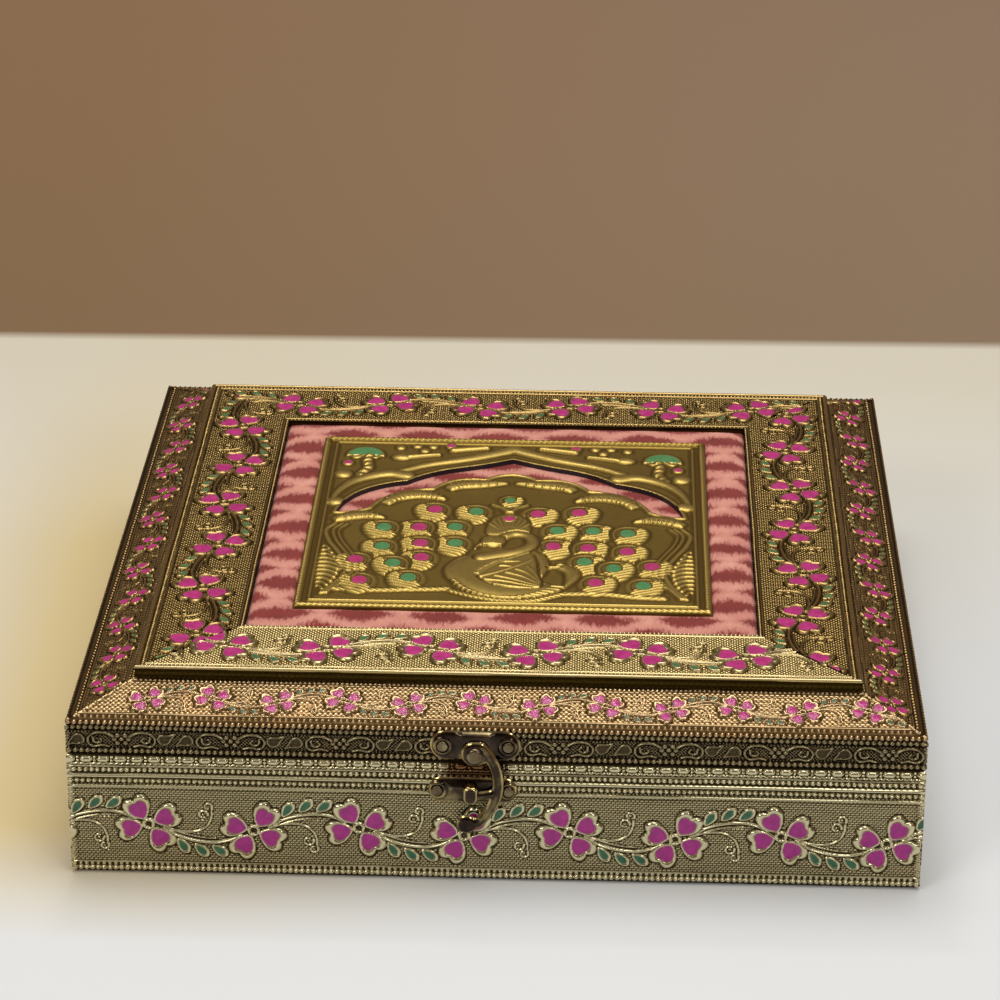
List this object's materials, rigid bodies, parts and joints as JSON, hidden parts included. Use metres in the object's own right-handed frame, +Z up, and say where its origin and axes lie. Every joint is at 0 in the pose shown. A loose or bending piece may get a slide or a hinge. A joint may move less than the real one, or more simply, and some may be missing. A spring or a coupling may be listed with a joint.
{
  "type": "dry fruit box",
  "caption": "Square gift box for dry fruit and nuts, embossed foil over board, with a framed hinged lid, a padded panel and a swinging hook latch.",
  "frame": {"origin": "middle of the underside, on the surface that the box stands on", "axes": "+X to the right, +Y to the back where the hinges are, +Z up; the latch faces -Y"},
  "size_m": [0.254, 0.2628, 0.0607],
  "materials": {
    "embossed_foil": "embossed antique gold foil with dark recesses and enamel in the flowers",
    "side_foil": "embossed antique gold foil, darker oxidised",
    "dark_foil": "embossed foil, dark brown oxidised",
    "plaque_foil": "bright embossed gold sheet with enamel dots",
    "ikat_velvet": "salmon pink velvet with a dark red ikat weave",
    "lining_velvet": "dark red flocked lining",
    "mdf": "raw medium density fibreboard",
    "cover_paper": "matt black paper",
    "antique_bronze": "polished antique bronze plating"
  },
  "bodies": {
    "box": {"back_wall_board": "mdf", "back_wall_foil": "side_foil", "back_wall_lining": "lining_velvet", "bottom_cover": "cover_paper", "box_nails": "antique_bronze", "catch_plate": "antique_bronze", "cross_divider": "lining_velvet", "floor_board": "mdf", "floor_lining": "lining_velvet", "front_wall_board": "mdf", "front_wall_foil": "embossed_foil", "front_wall_lining": "lining_velvet", "left_hinge_box_leaf": "antique_bronze", "left_hinge_pin": "antique_bronze", "left_wall_board": "mdf", "left_wall_foil": "side_foil", "left_wall_lining": "lining_velvet", "long_divider": "lining_velvet", "right_hinge_box_leaf": "antique_bronze", "right_hinge_pin": "antique_bronze", "right_wall_board": "mdf", "right_wall_foil": "side_foil", "right_wall_lining": "lining_velvet"},
    "lid": {"back_border_foil": "embossed_foil", "back_border_moulding": "mdf", "back_frame_foil": "embossed_foil", "back_frame_moulding": "mdf", "back_lid_rail": "mdf", "back_rim_foil": "dark_foil", "front_border_foil": "embossed_foil", "front_border_moulding": "mdf", "front_frame_foil": "embossed_foil", "front_frame_moulding": "mdf", "front_lid_rail": "mdf", "front_rim_foil": "dark_foil", "latch_plate": "antique_bronze", "latch_rivet": "antique_bronze", "left_border_foil": "embossed_foil", "left_border_moulding": "mdf", "left_frame_foil": "embossed_foil", "left_frame_moulding": "mdf", "left_hinge_lid_leaf": "antique_bronze", "left_lid_rail": "mdf", "left_rim_foil": "dark_foil", "lid_lining": "lining_velvet", "lid_nails": "antique_bronze", "lid_top_board": "mdf", "panel_board": "mdf", "plaque_board": "mdf", "plaque_sheet": "plaque_foil", "right_border_foil": "embossed_foil", "right_border_moulding": "mdf", "right_frame_foil": "embossed_foil", "right_frame_moulding": "mdf", "right_hinge_lid_leaf": "antique_bronze", "right_lid_rail": "mdf", "right_rim_foil": "dark_foil", "velvet_panel": "ikat_velvet"},
    "hook": {"latch_hook": "antique_bronze"}
  },
  "joints": [
    {"name": "lid_hinge", "type": "hinge", "parent": "box", "child": "lid", "pos_m": [0, 0.1294, 0.04015], "axis": [-1, 0, 0], "range_deg": [0, 110]},
    {"name": "hook_swing", "type": "hinge", "parent": "lid", "child": "hook", "pos_m": [-0.0058, -0.1295, 0.0444], "axis": [0, -1, 0], "range_deg": [0, 180]}
  ]
}
